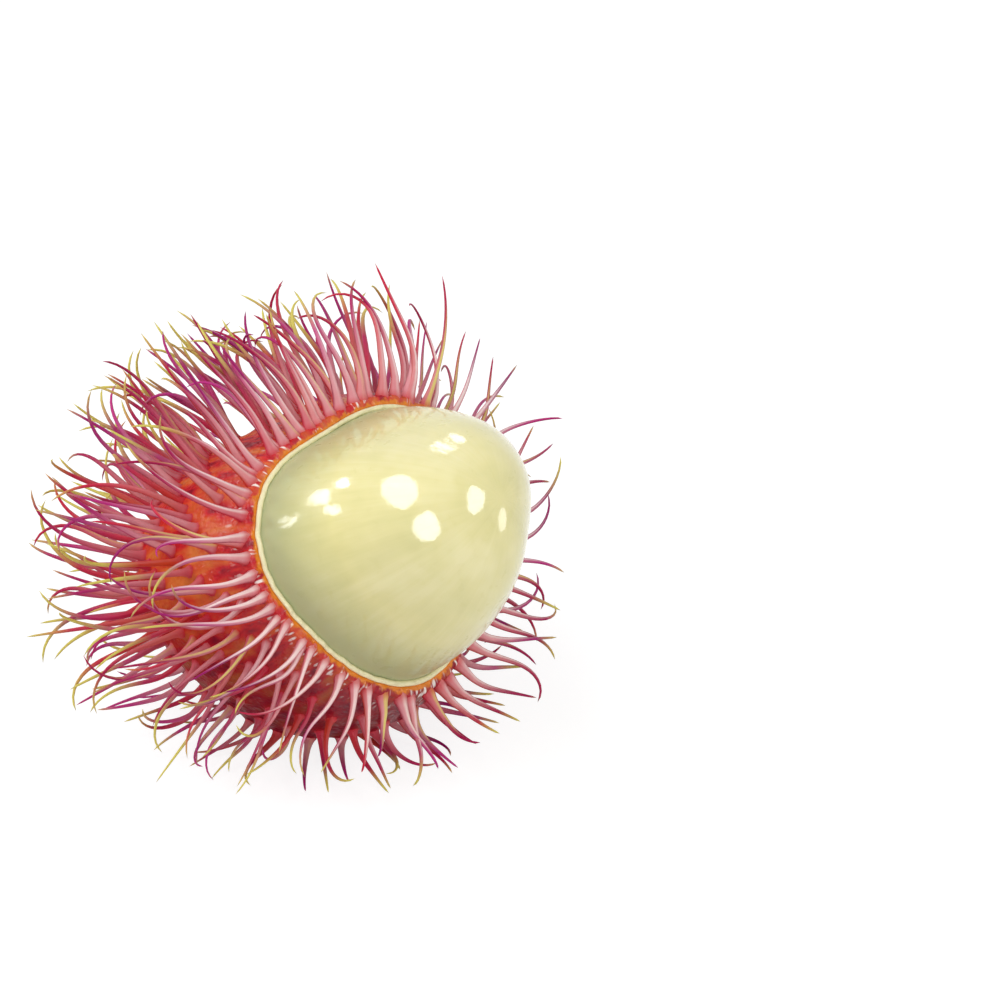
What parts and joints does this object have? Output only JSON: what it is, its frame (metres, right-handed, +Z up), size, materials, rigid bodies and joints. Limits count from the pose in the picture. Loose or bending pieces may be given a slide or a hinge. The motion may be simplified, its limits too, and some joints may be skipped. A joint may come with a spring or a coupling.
{
  "type": "rambutan",
  "caption": "Rambutan opened for eating: a cup of red peel with long soft spines, and the whole pale flesh standing in it.",
  "frame": {"origin": "middle of the small flat spot on the underside of the peel that the fruit rests on", "axes": "+Z up, square to the surface it rests on; +X level, towards the open side where the flesh stands out; +Y across"},
  "size_m": [0.067, 0.074, 0.0513],
  "materials": {
    "peel": "red rind, orange at the cut edge and maroon underneath, leathery with a soft gloss",
    "spines": "soft spines, pink and red at the root, crimson along the middle, and yellow-green at the tip",
    "flesh": "pale cream, wet and glossy, slightly translucent"
  },
  "bodies": {
    "root": {"peel": "peel", "flesh": "flesh"}
  },
  "joints": []
}
